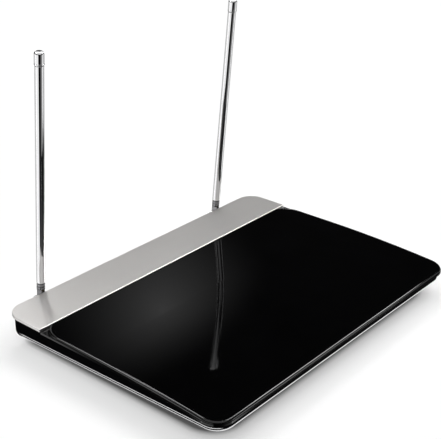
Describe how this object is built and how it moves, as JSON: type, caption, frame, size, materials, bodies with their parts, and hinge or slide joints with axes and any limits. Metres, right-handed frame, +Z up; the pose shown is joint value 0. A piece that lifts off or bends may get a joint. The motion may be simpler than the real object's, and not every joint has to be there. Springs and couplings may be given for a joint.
{
  "type": "indoor tv antenna",
  "caption": "Flat wedge-shaped indoor TV antenna with a gloss black panel, a silver rear plate, telescopic rods on swivelling knuckles and a rear coaxial socket.",
  "frame": {"origin": "centre of the footprint box on the surface it stands on", "axes": "+X along the wide front edge to the right, +Y to the rear where the rods stand, +Z up"},
  "size_m": [0.24, 0.1824, 0.1794],
  "materials": {
    "cover_black": "gloss",
    "panel_black": "mirror gloss",
    "plate_silver": "satin",
    "rod_chrome": "polished",
    "knuckle_chrome": "polished",
    "socket_nickel": "nickel plated",
    "bush_brass": "turned",
    "contact_brass": "plated",
    "screw_steel": "zinc plated",
    "sheet_tin": "tinned",
    "board_green": "solder mask",
    "ferrite_grey": "matte",
    "insulator_white": "matte",
    "lead_grey": "matte",
    "foot_rubber": "matte"
  },
  "bodies": {
    "base": {"balun_core": "ferrite_grey", "board_screws": "screw_steel", "bottom_cover": "cover_black", "coax_contact": "contact_brass", "coax_insulator": "insulator_white", "coax_nut": "socket_nickel", "coax_socket": "socket_nickel", "coax_washer": "socket_nickel", "cover_screws": "screw_steel", "feed_lead_left": "lead_grey", "feed_lead_right": "lead_grey", "foot_pad_front_left": "foot_rubber", "foot_pad_front_right": "foot_rubber", "foot_pad_rear_left": "foot_rubber", "foot_pad_rear_right": "foot_rubber", "matching_board": "board_green", "rear_plate": "plate_silver", "solder_tag_left": "contact_brass", "solder_tag_right": "contact_brass", "swivel_bush_left": "bush_brass", "swivel_bush_right": "bush_brass", "top_panel": "panel_black", "uhf_wing_left": "sheet_tin", "uhf_wing_right": "sheet_tin"},
    "left_swivel": {"swivel_barrel_left": "knuckle_chrome", "spring_washer_left": "screw_steel", "swivel_nut_left": "screw_steel", "hinge_pin_left": "screw_steel"},
    "left_rod": {"rod_foot_left": "rod_chrome", "outer_tube_left": "rod_chrome"},
    "left_second": {"second_tube_left": "rod_chrome"},
    "left_third": {"third_tube_left": "rod_chrome"},
    "left_tip": {"tip_rod_left": "rod_chrome", "tip_cap_left": "rod_chrome"},
    "right_swivel": {"swivel_barrel_right": "knuckle_chrome", "spring_washer_right": "screw_steel", "swivel_nut_right": "screw_steel", "hinge_pin_right": "screw_steel"},
    "right_rod": {"rod_foot_right": "rod_chrome", "outer_tube_right": "rod_chrome"},
    "right_second": {"second_tube_right": "rod_chrome"},
    "right_third": {"third_tube_right": "rod_chrome"},
    "right_tip": {"tip_rod_right": "rod_chrome", "tip_cap_right": "rod_chrome"}
  },
  "joints": [
    {"name": "left_swing", "type": "hinge", "parent": "base", "child": "left_swivel", "pos_m": [-0.0858, 0.08756, 0.013], "axis": [0, -1, 0], "range_deg": [-8, 90]},
    {"name": "left_tilt", "type": "hinge", "parent": "left_swivel", "child": "left_rod", "pos_m": [-0.0858, 0.08756, 0.013], "axis": [-1, 0, 0], "range_deg": [0, 95]},
    {"name": "left_second_slide", "type": "slide", "parent": "left_rod", "child": "left_second", "axis": [0, -0.0958, 0.9954], "range_m": [0, 0.128]},
    {"name": "left_third_slide", "type": "slide", "parent": "left_second", "child": "left_third", "axis": [0, -0.0958, 0.9954], "range_m": [0, 0.128]},
    {"name": "left_tip_slide", "type": "slide", "parent": "left_third", "child": "left_tip", "axis": [0, -0.0958, 0.9954], "range_m": [0, 0.128]},
    {"name": "right_swing", "type": "hinge", "parent": "base", "child": "right_swivel", "pos_m": [0.0858, 0.08756, 0.013], "axis": [0, 1, 0], "range_deg": [-8, 90]},
    {"name": "right_tilt", "type": "hinge", "parent": "right_swivel", "child": "right_rod", "pos_m": [0.0858, 0.08756, 0.013], "axis": [-1, 0, 0], "range_deg": [0, 95]},
    {"name": "right_second_slide", "type": "slide", "parent": "right_rod", "child": "right_second", "axis": [0, -0.0958, 0.9954], "range_m": [0, 0.128]},
    {"name": "right_third_slide", "type": "slide", "parent": "right_second", "child": "right_third", "axis": [0, -0.0958, 0.9954], "range_m": [0, 0.128]},
    {"name": "right_tip_slide", "type": "slide", "parent": "right_third", "child": "right_tip", "axis": [0, -0.0958, 0.9954], "range_m": [0, 0.128]}
  ]
}
